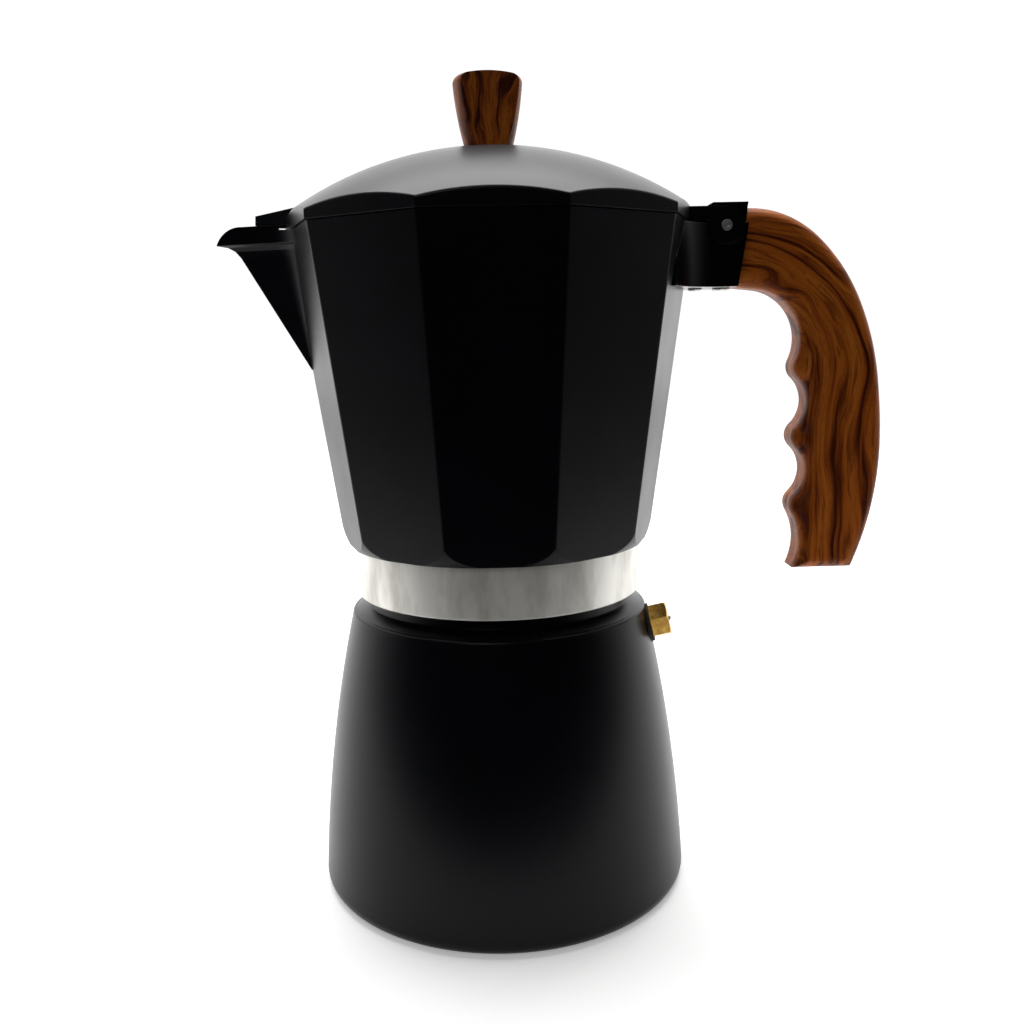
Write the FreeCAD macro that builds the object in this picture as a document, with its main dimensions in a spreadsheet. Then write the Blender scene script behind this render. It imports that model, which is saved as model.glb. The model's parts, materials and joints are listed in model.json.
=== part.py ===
import FreeCAD, Part
import Sketcher
import math
import os

# A stove-top moka pot, in millimetres. It stands on the plane z = 0 with its axis on Z.
# The handle points along +X and the spout along -X.

# alias, value, what it is
SIZES = [
    ("base_radius", 57.1, "flat that the boiler stands on"),
    ("base_round", 4.0, "rounding between the base and the bell"),
    ("bell_radius", 500.0, "radius of the boiler's bell curve"),
    ("shoulder_width", 5.3, "width of the shoulder round the neck"),
    ("shoulder_height", 93.0, "height of the shoulder's edge"),
    ("shoulder_round", 1.2, "rounding of the shoulder's edge"),
    ("shoulder_rise", 2.2, "climb from the shoulder's edge to the neck"),
    ("boiler_wall", 3.2, "boiler wall"),
    ("boiler_floor", 4.0, "boiler floor"),
    ("neck_wall", 3.7, "wall of the boiler's neck"),
    ("neck_radius", 42.3, "neck radius at the root of the thread"),
    ("neck_step", 1.0, "step out to the land below the thread"),
    ("neck_rise", 15.9, "climb from the shoulder's edge to the boiler's rim"),
    ("thread_pitch", 4.0, "pitch of the neck thread"),
    ("thread_depth", 1.0, "height of a thread ridge"),
    ("thread_root", 2.6, "width of a thread ridge at its root"),
    ("thread_crest", 1.0, "width of a thread ridge at its crest"),
    ("thread_length", 5.6, "climb of the boiler's thread"),
    ("thread_gap", 0.3, "clearance between the crests of the two threads"),
    ("ring_wall", 1.9, "wall of the collar ring"),
    ("ring_height", 16.3, "height of the collar ring"),
    ("edge_break", 0.4, "small chamfer on turned edges"),
    ("foot_step", 0.5, "height of the vessel's lower edge above the gasket's seat"),
    ("vessel_height", 98.8, "height of the vessel from its lower edge to its rim"),
    ("foot_trimmed", 2.1, "how much is trimmed off the vessel's corners at the foot"),
    ("vessel_flare", 13.7, "how far the vessel's corners flare out from foot to rim"),
    ("foot_overhang", 2.0, "how far the vessel's foot stands out over the collar ring"),
    ("foot_trim_height", 6.5, "height over which the corners are trimmed"),
    ("corner_round", 1.4, "rounding of the vessel's upright corners"),
    ("vessel_wall", 2.8, "vessel wall"),
    ("floor_thickness", 4.2, "thickness of the vessel's floor"),
    ("spigot_wall", 3.0, "wall of the vessel's spigot"),
    ("gasket_thickness", 4.3, "thickness of the gasket"),
    ("rest_gap", 0.1, "clearance where loose pieces rest on each other"),
    ("side_gap", 0.35, "sideways clearance of loose pieces"),
    ("funnel_flange", 0.9, "thickness of the funnel's flange"),
    ("basket_gap", 0.9, "clearance between the coffee basket and the neck"),
    ("basket_depth", 26.0, "depth of the coffee basket below the boiler's rim"),
    ("basket_ledge", 1.8, "width of the ledge under the sieve"),
    ("sheet_wall", 0.9, "sheet thickness of the funnel"),
    ("stem_radius", 5.0, "outside radius of the funnel's stem"),
    ("stem_gap", 5.0, "height of the stem's lower end above the boiler's floor"),
    ("cone_drop", 8.5, "depth of the funnel's cone"),
    ("sieve_thickness", 0.8, "thickness of the perforated plates"),
    ("sieve_hole", 0.85, "radius of a sieve hole"),
    ("gasket_lap", 3.7, "how far the gasket reaches in over the basket"),
    ("plate_lap", 3.3, "how far the filter plate lies on the gasket"),
    ("dish_gap", 1.6, "clearance between the filter plate's dish and the gasket"),
    ("dish_depth", 2.4, "depth of the filter plate's dish"),
    ("column_neck", 1.8, "how much wider the riser column's pressed foot is than its top"),
    ("column_flange", 2.5, "how far the riser column's flange stands out over its foot"),
    ("column_wall", 2.6, "wall of the riser column at its top"),
    ("column_drop", 24.3, "how far the riser column's shoulder is below the vessel's rim"),
    ("column_bore", 3.6, "radius of the riser column's bore"),
    ("outlet_width", 5.0, "width of a coffee outlet"),
    ("outlet_height", 9.0, "height of a coffee outlet"),
    ("spout_tip_out", 22.1, "how far the spout's tip stands out past the rim's corner"),
    ("spout_start", 0.135, "how far the spout's keel stands out where it leaves the body"),
    ("spout_depth", 42.8, "how far below the rim the keel leaves the body"),
    ("spout_lip_drop", 7.5, "how far below the rim the lip starts to curl out"),
    ("spout_lip_out", 14.5, "how far the keel stands out past the rim's corner there"),
    ("spout_tip_drop", 3.6, "how far below the rim the spout's tip is"),
    ("spout_nose", 0.6, "half width of the keel's nose"),
    ("spout_rise", 1.7, "height of the spout's upper edge above the rim"),
    ("spout_wall", 2.0, "wall of the spout"),
    ("lid_overhang", 0.6, "how far the lid's corners stand out past the rim"),
    ("lid_gap", 0.2, "clearance between the lid and the rim"),
    ("lid_edge", 2.825, "height of the lid's edge at its corners"),
    ("dome_radius", 110.0, "radius of the dome"),
    ("dome_edge_round", 0.8, "rounding of the dome's edge over the lid's sides"),
    ("lid_wall", 2.0, "lid wall"),
    ("boss_radius", 6.0, "radius of the flat for the knob screw inside the lid"),
    ("boss_depth", 1.0, "how far that flat stands down from the dome's inside"),
    ("skirt_wall", 2.22, "wall of the lid at the middle of a side"),
    ("back_gap", 0.3, "clearance between the lid's back and the hinge tongue"),
    ("knob_seat", 8.2, "radius of the flat under the knob"),
    ("seat_cut", 0.188, "depth that the flat under the knob is cut into the dome"),
    ("beak_out", 8.1, "how far the lid's beak stands out past its corner"),
    ("beak_half", 8.5, "half width of the beak at the lid"),
    ("beak_nose", 4.5, "half width of the beak at its nose"),
    ("beak_gap", 0.3, "clearance between the beak and the spout's upper edge"),
    ("beak_depth", 2.9, "height of the beak at its nose"),
    ("beak_plate", 1.6, "thickness of the beak's walls"),
    ("pin_drop", 1.1, "how far the hinge pin is below the rim"),
    ("pin_radius", 1.25, "radius of the hinge pin"),
    ("pin_head", 1.65, "radius of the hinge pin's heads"),
    ("pin_head_length", 0.9, "thickness of the hinge pin's heads"),
    ("pin_dimple", 0.7, "radius of the dimples in the hinge pin's heads"),
    ("pin_gap", 0.06, "running clearance round the hinge pin"),
    ("tongue_half", 6.6, "half width of the bracket's hinge tongue"),
    ("cheek_gap", 0.4, "clearance beside the tongue"),
    ("cheek_wide", 5.2, "width of a hinge cheek on the lid"),
    ("cheek_round", 5.8, "radius of the hinge cheek round the pin"),
    ("cheek_relief", 0.5, "clearance round the hinge cheeks in the bracket"),
    ("bracket_floor", 3.5, "thickness of the bracket below lug and tenon"),
    ("bracket_dip", 0.4, "how far the bracket's shoulders are below the rim"),
    ("tongue_flat", 0.5, "how much the hinge tongue's round is cut flat at its top"),
    ("bracket_depth", 8.1, "distance from the hinge pin to the bracket's rear face"),
    ("bracket_lean", 4.1, "how far the rear face leans in towards its foot"),
    ("bracket_half", 12.0, "half width of the bracket at its rear"),
    ("bracket_flare", 27.0, "half width of the bracket where it meets the vessel"),
    ("tongue_round", 8.0, "radius of the tongue's nose round the pin"),
    ("lug_half", 5.0, "half width of the vessel's lug"),
    ("lug_out", 3.7, "how far the vessel's lug stands out past the rim's corner"),
    ("lug_drop", 16.1, "how far the underside of lug and tenon is below the rim"),
    ("lug_height", 8.0, "height of lug and tenon"),
    ("tenon_half", 5.5, "half width of the handle's tenon"),
    ("web", 1.2, "wall between the lug and the tenon"),
    ("screw_radius", 1.5, "radius of the fixing screws"),
    ("lug_screw_head", 2.3, "radius of the head of the lug's screw"),
    ("tenon_screw_head", 2.9, "radius of the head of the handle's screw"),
    ("screw_length", 9.0, "length of the fixing screws below their heads"),
    ("screw_head_length", 0.8, "height of the fixing screws' heads"),
    ("lug_screw_in", 2.8, "distance from the lug's end to its screw"),
    ("tenon_screw_in", 4.4, "distance from the tenon's end to its screw"),
    ("insert_radius", 2.4, "radius of the threaded inserts"),
    ("insert_length", 5.5, "length of the threaded inserts"),
    ("handle_half", 8.2, "half thickness of the handle"),
    ("handle_round", 4.6, "rounding of the handle's edges"),
    ("handle_drop", 1.7, "how far the handle's top edge is below the hinge tongue's top"),
    ("handle_length", 116.0, "height of the handle from its lower end to its top edge"),
    ("handle_depth", 45.1, "distance from the bracket's rear face to the handle's back"),
    ("finger_room", 15.9, "distance from the bracket to the ridges between the grooves"),
    ("groove_depth", 4.749, "depth of the finger grooves behind the ridges"),
    ("ridge_radius", 5.2, "radius of the ridges between the fingers"),
    ("top_groove_in", 1.9, "how far the groove above the first ridge lies behind it"),
    ("top_groove_radius", 16.0, "radius of the groove above the first ridge"),
    ("low_groove_in", 3.2, "how far the groove below the last ridge lies behind it"),
    ("low_groove_radius", 20.0, "radius of the groove below the last ridge"),
    ("top_groove_gap", 0.9, "distance from the bracket's underside to the top groove"),
    ("last_ridge_rise", 21.0, "height of the last ridge above the handle's lower end"),
    ("knob_foot", 7.6, "knob radius at its foot"),
    ("knob_head", 10.8, "knob radius below its crown"),
    ("knob_flank", 105.0, "radius of the knob's flank curve"),
    ("knob_height", 19.1, "height of the knob's widest edge above its foot"),
    ("knob_crown", 3.3, "height of the knob's crown above its widest edge"),
    ("knob_edge_round", 2.4, "rounding of the knob's upper edge"),
    ("knob_flat", 5.9, "distance from the knob's axis to its flats"),
    ("knob_turn", 8.0, "angle by which the knob is screwed past square"),
    ("washer_radius", 6.9, "radius of the knob's washer"),
    ("washer_thickness", 0.7, "thickness of the knob's washer"),
    ("knob_insert_radius", 3.1, "radius of the knob's insert"),
    ("knob_insert_length", 8.0, "length of the knob's insert"),
    ("knob_screw_radius", 2.0, "radius of the knob's screw"),
    ("knob_screw_head", 3.6, "radius of the head of the knob's screw"),
    ("knob_screw_head_length", 2.1, "height of the head of the knob's screw"),
    ("knob_screw_length", 11.0, "length of the knob's screw above its head"),
    ("valve_azimuth", -9.0, "direction of the safety valve round the boiler"),
    ("valve_tilt", 13.5, "upward tilt of the safety valve"),
    ("valve_proud", 0.09, "how far the valve's seat stands out from the bell"),
    ("valve_drop", 7.0, "how far the valve's seat is below the shoulder's edge"),
    ("valve_hex", 5.8, "radius to the corners of the valve's hexagon"),
    ("valve_hex_length", 6.0, "length of the valve's hexagon"),
    ("valve_shank", 4.0, "radius of the valve's shank"),
    ("valve_shank_length", 8.0, "length of the valve's shank inside the washer"),
    ("valve_chamber", 2.6, "radius of the valve's spring chamber"),
    ("valve_cover", 2.0, "thickness of the chamber's outer end"),
    ("valve_seat_length", 2.0, "length of the valve's seat"),
    ("valve_port", 1.2, "radius of the valve seat's port"),
    ("valve_washer", 6.3, "radius of the valve's washer"),
    ("valve_washer_length", 1.2, "thickness of the valve's washer"),
    ("valve_spot", 0.6, "depth of the flat under the valve's washer"),
    ("relief_stem", 0.95, "radius of the relief pin's stem"),
    ("relief_head", 2.3, "radius of the relief pin's head"),
    ("relief_head_length", 1.4, "length of the relief pin's head"),
    ("spring_wire", 0.3, "radius of the relief spring's wire"),
    ("spring_turns", 6.0, "turns of the relief spring"),
]

SIDES = 10
HALF_SIDE = 180.0 / SIDES


class Size:
    """A number together with the sheet expression that gives it."""

    def __init__(self, value, text=None):
        self.value = float(value)
        self.text = text or repr(float(value))

    def joined(self, sign, other, value):
        return Size(value, "(%s %s %s)" % (self.text, sign, other.text))

    def __add__(self, other):
        other = as_size(other)
        return self.joined("+", other, self.value + other.value)

    def __sub__(self, other):
        other = as_size(other)
        return self.joined("-", other, self.value - other.value)

    def __mul__(self, other):
        other = as_size(other)
        return self.joined("*", other, self.value * other.value)

    def __truediv__(self, other):
        other = as_size(other)
        return self.joined("/", other, self.value / other.value)

    def __neg__(self):
        return Size(-self.value, "(-1 * %s)" % self.text)

    def __radd__(self, other):
        return as_size(other) + self

    def __rsub__(self, other):
        return as_size(other) - self

    def __rmul__(self, other):
        return as_size(other) * self


def as_size(number):
    return number if isinstance(number, Size) else Size(number)


def sine(angle):
    return Size(math.sin(math.radians(angle.value)), "sin(%s)" % angle.text)


def cosine(angle):
    return Size(math.cos(math.radians(angle.value)), "cos(%s)" % angle.text)


def root(number):
    return Size(math.sqrt(number.value), "sqrt(%s)" % number.text)


doc = FreeCAD.newDocument("moka_pot")
sheet = doc.addObject("Spreadsheet::Sheet", "Sizes")


class Sheet:
    """Gives each named size of the sheet as an attribute."""


size = Sheet()
for row, (alias, number, meaning) in enumerate(SIZES, start=1):
    sheet.set("A%d" % row, meaning)
    sheet.set("B%d" % row, str(number))
    sheet.setAlias("B%d" % row, alias)
    setattr(size, alias, Size(number, "Sizes." + alias))
doc.recompute()

ZERO = Size(0)


# ---------------------------------------------------------------- places that follow from the sizes

def follow():
    """Set the heights and reaches that follow from the sizes of the sheet."""
    # boiler, collar ring and what is clamped between boiler and vessel
    size.neck_bore = size.neck_radius - size.neck_wall
    size.neck_land = size.neck_radius + size.neck_step
    size.shoulder_radius = size.neck_land + size.shoulder_width
    size.neck_height = size.shoulder_height + size.neck_rise
    size.ring_bore = size.neck_radius + size.thread_depth * 2 + size.thread_gap
    size.ring_radius = size.ring_bore + size.ring_wall
    size.seat_bore = size.ring_bore - size.spigot_wall
    size.seat_height = size.neck_height + size.funnel_flange + size.gasket_thickness + size.rest_gap * 3
    size.vessel_foot = size.seat_height + size.foot_step
    size.ring_foot = size.vessel_foot - size.ring_height
    size.basket_radius = size.neck_bore - size.basket_gap
    size.basket_floor = size.neck_height - size.basket_depth
    size.stem_foot = size.boiler_floor + size.stem_gap
    size.gasket_bore = size.basket_radius - size.gasket_lap
    size.plate_radius = size.gasket_bore + size.plate_lap
    size.dish_radius = size.gasket_bore - size.dish_gap
    size.valve_height = size.shoulder_height - size.valve_drop
    # vessel, riser column and spout
    size.foot_trim = size.ring_radius + size.foot_overhang
    size.foot_corner = size.foot_trim + size.foot_trimmed
    size.rim_corner = size.foot_corner + size.vessel_flare
    size.vessel_floor = size.seat_height + size.floor_thickness
    size.vessel_rim = size.vessel_foot + size.vessel_height
    size.column_head = size.column_bore + size.column_wall
    size.column_fit = size.column_head + size.column_neck
    size.column_foot = size.column_fit + size.column_flange
    size.column_shoulder = size.vessel_rim - size.column_drop
    size.spout_foot = size.vessel_rim - size.spout_depth
    size.spout_lip = size.vessel_rim - size.spout_lip_drop
    size.spout_tip = size.vessel_rim - size.spout_tip_drop
    size.spout_top = size.vessel_rim + size.spout_rise
    size.spout_lip_reach = size.rim_corner + size.spout_lip_out
    size.spout_reach = size.rim_corner + size.spout_tip_out
    # bracket, hinge and handle
    size.pin_reach = size.rim_corner + size.tongue_round
    size.pin_height = size.vessel_rim - size.pin_drop
    size.bracket_top = size.pin_height + size.tongue_round - size.tongue_flat
    size.bracket_shoulder = size.vessel_rim - size.bracket_dip
    size.bracket_reach = size.pin_reach + size.bracket_depth
    size.lug_foot = size.vessel_rim - size.lug_drop
    size.lug_top = size.lug_foot + size.lug_height
    size.bracket_foot = size.lug_foot - size.bracket_floor
    size.lug_reach = size.rim_corner + size.lug_out
    size.lug_screw_reach = size.lug_reach - size.lug_screw_in
    size.tenon_start = size.lug_reach + size.web
    size.tenon_screw_reach = size.tenon_start + size.tenon_screw_in
    size.handle_top = size.bracket_top - size.handle_drop
    size.handle_foot = size.handle_top - size.handle_length
    size.handle_back = size.bracket_reach + size.handle_depth
    size.handle_front = size.bracket_reach + size.finger_room
    # lid and knob
    size.lid_corner = size.rim_corner + size.lid_overhang
    size.lid_foot = size.vessel_rim + size.lid_gap
    rise = size.dome_radius - root(size.dome_radius * size.dome_radius - size.lid_corner * size.lid_corner)
    size.dome_top = size.lid_foot + size.lid_edge + rise
    size.lid_cavity = size.lid_corner * math.cos(math.radians(HALF_SIDE)) - size.skirt_wall
    size.lid_back = size.pin_reach - size.tongue_round - size.back_gap
    size.cheek_foot = size.lid_foot + size.rest_gap
    size.boss_height = size.dome_top - size.lid_wall - size.boss_depth
    size.knob_seat_height = lid_dome(size.knob_seat) - size.seat_cut
    size.knob_edge = size.knob_seat_height + size.washer_thickness + size.knob_height
    size.knob_top = size.knob_edge + size.knob_crown
    size.beak_reach = size.lid_corner + size.beak_out
    size.beak_foot = size.spout_top + size.beak_gap
    size.beak_nose_top = size.beak_foot + size.beak_depth


def lid_dome(radius):
    """Height of the dome curve at a distance from the axis."""
    radius = as_size(radius)
    return size.dome_top - size.dome_radius + root(size.dome_radius * size.dome_radius - radius * radius)


def corner_at(height):
    """Radius to the vessel's corners at a height."""
    slope = size.vessel_flare / size.vessel_height
    return size.foot_corner + (as_size(height) - size.vessel_foot) * slope


follow()


# ---------------------------------------------------------------- drawing helpers

def new_body(name):
    body = doc.addObject("PartDesign::Body", name)
    body.Label = name
    return body


def bind(thing, field, number):
    """Set a property of a feature from a size and tie it to the sheet."""
    number = as_size(number)
    setattr(thing, field, number.value)
    thing.setExpression(field, number.text)


def place(sketch, body, plane, offset=None):
    support = [item for item in body.Origin.OriginFeatures if item.Role == plane][0]
    sketch.AttachmentSupport = (support, [""])
    sketch.MapMode = "FlatFace"
    if offset is not None:
        offset = as_size(offset)
        sketch.AttachmentOffset = FreeCAD.Placement(FreeCAD.Vector(0, 0, offset.value), FreeCAD.Rotation())
        sketch.setExpression("AttachmentOffset.Base.z", offset.text)


def tie(sketch, kind, geometry, end, number):
    """Hold one coordinate of a point to a size, measured from the sketch's origin."""
    if abs(number.value) < 1e-9:
        axis = -2 if kind == "DistanceX" else -1
        sketch.addConstraint(Sketcher.Constraint("PointOnObject", geometry, end, axis))
        return
    if number.value > 0:
        held = sketch.addConstraint(Sketcher.Constraint(kind, -1, 1, geometry, end, number.value))
    else:
        number = -number
        held = sketch.addConstraint(Sketcher.Constraint(kind, geometry, end, -1, 1, number.value))
    sketch.setExpression("Constraints[%d]" % held, number.text)


def outline(body, name, plane, corners, offset=None):
    """Draw a closed outline. A corner is (x, y), or (x, y, radius) when an arc leaves it for the next corner.
    A positive radius turns left and a negative one turns right."""
    sketch = body.newObject("Sketcher::SketchObject", name)
    place(sketch, body, plane, offset)
    corners = [tuple(as_size(number) for number in corner) for corner in corners]
    ends = []
    for number, corner in enumerate(corners):
        following = corners[(number + 1) % len(corners)]
        start = FreeCAD.Vector(corner[0].value, corner[1].value, 0)
        finish = FreeCAD.Vector(following[0].value, following[1].value, 0)
        if len(corner) == 2:
            sketch.addGeometry(Part.LineSegment(start, finish), False)
            ends.append((1, 2))
            continue
        radius = corner[2].value
        chord = finish - start
        height = math.sqrt(radius * radius - chord.Length * chord.Length / 4)
        left = FreeCAD.Vector(-chord.y, chord.x, 0).normalize()
        centre = (start + finish) * 0.5 + left * math.copysign(height, radius)
        first, last = (start, finish) if radius > 0 else (finish, start)
        begin = math.atan2(first.y - centre.y, first.x - centre.x)
        stop = math.atan2(last.y - centre.y, last.x - centre.x)
        circle = Part.Circle(centre, FreeCAD.Vector(0, 0, 1), abs(radius))
        sketch.addGeometry(Part.ArcOfCircle(circle, begin, stop), False)
        ends.append((1, 2) if radius > 0 else (2, 1))
    for number, corner in enumerate(corners):
        following = (number + 1) % len(corners)
        meet = Sketcher.Constraint("Coincident", number, ends[number][1], following, ends[following][0])
        sketch.addConstraint(meet)
    for number, corner in enumerate(corners):
        tie(sketch, "DistanceX", number, ends[number][0], corner[0])
        tie(sketch, "DistanceY", number, ends[number][0], corner[1])
        if len(corner) == 3:
            bow = corner[2] if corner[2].value > 0 else -corner[2]
            held = sketch.addConstraint(Sketcher.Constraint("Radius", number, bow.value))
            sketch.setExpression("Constraints[%d]" % held, bow.text)
    sketch.Visibility = False
    return sketch


def circles(body, name, plane, centres, radius, offset=None):
    """Draw circles of one radius about the given centres."""
    sketch = body.newObject("Sketcher::SketchObject", name)
    place(sketch, body, plane, offset)
    for number, (across, up) in enumerate(centres):
        middle = FreeCAD.Vector(as_size(across).value, as_size(up).value, 0)
        sketch.addGeometry(Part.Circle(middle, FreeCAD.Vector(0, 0, 1), radius.value), False)
        tie(sketch, "DistanceX", number, 3, as_size(across))
        tie(sketch, "DistanceY", number, 3, as_size(up))
        held = sketch.addConstraint(Sketcher.Constraint("Radius", number, radius.value))
        sketch.setExpression("Constraints[%d]" % held, radius.text)
    sketch.Visibility = False
    return sketch


def volume(body):
    return body.Shape.Volume if body.Tip and body.Shape and not body.Shape.isNull() else 0.0


def finish(body, feature, before, cut):
    """Recompute and make sure that the feature added or removed material."""
    body.Tip = feature
    doc.recompute()
    change = volume(body) - before
    if (change >= 0) if cut else (change <= 0):
        raise RuntimeError("%s changed the volume of %s by %.3f" % (feature.Name, body.Label, change))
    return feature


def turned(body, name, corners, cut=False):
    """Turn an outline in the XZ plane about Z."""
    before = volume(body)
    sketch = outline(body, name + "_outline", "XZ_Plane", corners)
    feature = body.newObject("PartDesign::Groove" if cut else "PartDesign::Revolution", name)
    feature.Profile = sketch
    feature.ReferenceAxis = (sketch, ["V_Axis"])
    feature.Angle = 360
    return finish(body, feature, before, cut)


def padded(body, name, sketch, length, cut=False, both=False):
    """Add or cut a sketch's outline along the sketch's normal. "both" centres the length on the sketch."""
    before = volume(body)
    feature = body.newObject("PartDesign::Pocket" if cut else "PartDesign::Pad", name)
    feature.Profile = sketch
    bind(feature, "Length", length)
    feature.SideType = "Symmetric" if both else "One side"
    feature.Reversed = cut and not both
    return finish(body, feature, before, cut)


def lofted(body, name, sketches, cut=False, ruled=True):
    before = volume(body)
    feature = body.newObject("PartDesign::SubtractiveLoft" if cut else "PartDesign::AdditiveLoft", name)
    feature.Profile = sketches[0]
    feature.Sections = sketches[1:]
    feature.Ruled = ruled
    return finish(body, feature, before, cut)


def thread(body, name, corners, climb):
    """Wind a ridge with the given outline round the neck."""
    before = volume(body)
    sketch = outline(body, name + "_outline", "XZ_Plane", corners)
    feature = body.newObject("PartDesign::AdditiveHelix", name)
    feature.Profile = sketch
    feature.ReferenceAxis = (sketch, ["V_Axis"])
    feature.Mode = 0
    bind(feature, "Pitch", size.thread_pitch)
    bind(feature, "Height", climb)
    return finish(body, feature, before, False)


def rounded(body, name, edges, radius):
    """Round the edges of the body's last feature that the test picks out."""
    base = body.Tip
    names = ["Edge%d" % number for number, edge in enumerate(base.Shape.Edges, start=1) if edges(edge)]
    feature = body.newObject("PartDesign::Fillet", name)
    feature.Base = (base, names)
    bind(feature, "Radius", radius)
    body.Tip = feature
    doc.recompute()
    return feature


def box(body, name, low, high, cut=False):
    """Add or cut a block between two corners given as sizes."""
    corners = [(low[0], low[1]), (high[0], low[1]), (high[0], high[1]), (low[0], high[1])]
    sketch = outline(body, name + "_outline", "XY_Plane", corners, low[2])
    return padded(body, name, sketch, as_size(high[2]) - low[2], cut)


def across(body, name, corners, half, cut=False):
    """Pad or cut an outline of the XZ plane to both sides of it."""
    sketch = outline(body, name + "_outline", "XZ_Plane", corners)
    return padded(body, name, sketch, as_size(half) * 2, cut, both=True)


def upright_hole(body, name, reach, radius, low, high):
    """Cut a round hole along Z, standing at a distance from the axis along X."""
    sketch = circles(body, name + "_outline", "XY_Plane", [(reach, ZERO)], as_size(radius), low)
    return padded(body, name, sketch, as_size(high) - low, cut=True)


def towards(degrees):
    """Direction in the plane, as two plain numbers."""
    angle = math.radians(degrees)
    return round(math.cos(angle), 9), round(math.sin(angle), 9)


def polygon(corner_radius, rounding=None):
    """The pot's regular outline, with a corner on +X. The corners are sharp, or rounded to a radius."""
    corners = []
    for number in range(SIDES):
        turn = 2 * HALF_SIDE * number
        along, up = towards(turn)
        corner = (corner_radius * along, corner_radius * up)
        if rounding is None:
            corners.append(corner)
            continue
        cut = rounding * math.tan(math.radians(HALF_SIDE))
        before = towards(turn + 90 - HALF_SIDE)
        after = towards(turn + 90 + HALF_SIDE)
        corners.append((corner[0] - cut * before[0], corner[1] - cut * before[1], rounding))
        corners.append((corner[0] + cut * after[0], corner[1] + cut * after[1]))
    return corners


def flared(body, name, low, high, inset=None, cut=False):
    """Ten-sided solid with the vessel's taper. It is the vessel's outside, or is set in from it by a wall."""
    sections = []
    for place_name, level in (("low", low), ("high", high)):
        if inset is None:
            corners = polygon(corner_at(level), size.corner_round)
        else:
            corners = polygon(corner_at(level) - inset / math.cos(math.radians(HALF_SIDE)))
        sections.append(outline(body, "%s_%s" % (name, place_name), "XY_Plane", corners, level))
    return lofted(body, name, sections, cut)


# ---------------------------------------------------------------- boiler and funnel

def bell_at(height):
    """Radius of the bell's outside at a height, as a plain number."""
    low = (size.base_radius.value + size.base_round.value, size.base_round.value)
    high = (size.shoulder_radius.value, size.shoulder_height.value - size.shoulder_round.value)
    chord = math.hypot(high[0] - low[0], high[1] - low[1])
    back = math.sqrt(size.bell_radius.value ** 2 - chord ** 2 / 4) / chord
    centre = (
        (low[0] + high[0]) / 2 - (high[1] - low[1]) * back,
        (low[1] + high[1]) / 2 + (high[0] - low[0]) * back,
    )
    return centre[0] + math.sqrt(size.bell_radius.value ** 2 - (height - centre[1]) ** 2)


def valve_placement():
    azimuth = math.radians(size.valve_azimuth.value)
    tilt = math.radians(size.valve_tilt.value)
    outward = FreeCAD.Vector(math.cos(azimuth), math.sin(azimuth), 0)
    direction = outward * math.cos(tilt) + FreeCAD.Vector(0, 0, math.sin(tilt))
    reach = bell_at(size.valve_height.value) + size.valve_proud.value
    base = outward * reach + FreeCAD.Vector(0, 0, size.valve_height.value)
    return FreeCAD.Placement(base, FreeCAD.Rotation(FreeCAD.Vector(0, 0, 1), direction))


def drilled(body, name, radius, low, high):
    """Cut a cylinder along the safety valve's axis between two distances from its seat."""
    before = volume(body)
    feature = body.newObject("PartDesign::SubtractiveCylinder", name)
    bind(feature, "Radius", radius)
    bind(feature, "Height", as_size(high) - low)
    start = FreeCAD.Placement(FreeCAD.Vector(0, 0, as_size(low).value), FreeCAD.Rotation())
    feature.Placement = valve_placement() * start
    return finish(body, feature, before, True)


def ridge(inner, outer, level, outward):
    """Outline of a thread ridge centred on a level. It grows outward from the inner radius, or inward."""
    root_half = size.thread_root / 2
    crest_half = size.thread_crest / 2
    foot, crest = (inner, outer) if outward else (outer, inner)
    points = [
        (foot, level - root_half),
        (crest, level - crest_half),
        (crest, level + crest_half),
        (foot, level + root_half),
    ]
    return points if outward else points[::-1]


def thread_level():
    """Height of the middle of the ridge where the boiler's thread starts."""
    return size.neck_height - size.edge_break * 2 - size.thread_root / 2 - size.thread_length


def build_boiler():
    body = new_body("boiler")
    bell = size.bell_radius
    outer = size.base_radius + size.base_round
    shoulder = size.shoulder_height - size.shoulder_round
    land_height = size.shoulder_height + size.shoulder_rise
    inner_bell = bell - size.boiler_wall
    inner_shoulder = size.shoulder_radius - size.boiler_wall
    turned(body, "casting", [
        (ZERO, ZERO),
        (size.base_radius, ZERO, size.base_round),
        (outer, size.base_round, bell),
        (size.shoulder_radius, shoulder, size.shoulder_round),
        (size.shoulder_radius - size.shoulder_round, size.shoulder_height),
        (size.neck_land, land_height),
        (size.neck_land, size.ring_foot),
        (size.neck_radius, size.ring_foot + (size.neck_land - size.neck_radius)),
        (size.neck_radius, size.neck_height - size.edge_break),
        (size.neck_radius - size.edge_break, size.neck_height),
        (size.neck_bore + size.edge_break, size.neck_height),
        (size.neck_bore, size.neck_height - size.edge_break),
        (size.neck_bore, land_height - size.boiler_wall / 2),
        (inner_shoulder, shoulder - size.boiler_wall, -inner_bell),
        (outer - size.boiler_wall, size.base_round + size.boiler_floor, -size.base_round),
        (size.base_radius - size.boiler_wall, size.boiler_floor),
        (ZERO, size.boiler_floor),
    ])
    buried = size.neck_radius - size.thread_gap / 2
    crest = size.neck_radius + size.thread_depth
    thread(body, "neck_thread", ridge(buried, crest, thread_level(), True), size.thread_length)
    drilled(body, "valve_hole", size.valve_shank, -size.valve_shank_length, size.valve_hex_length)
    drilled(body, "valve_flat", size.valve_washer + size.side_gap, -size.valve_spot, size.valve_hex_length)


def build_valve_washer():
    body = new_body("valve_washer")
    top = size.valve_washer_length - size.valve_spot
    turned(body, "ring", [
        (size.valve_shank, -size.valve_spot),
        (size.valve_washer, -size.valve_spot),
        (size.valve_washer, top),
        (size.valve_shank, top),
    ])
    body.Placement = valve_placement()


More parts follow.
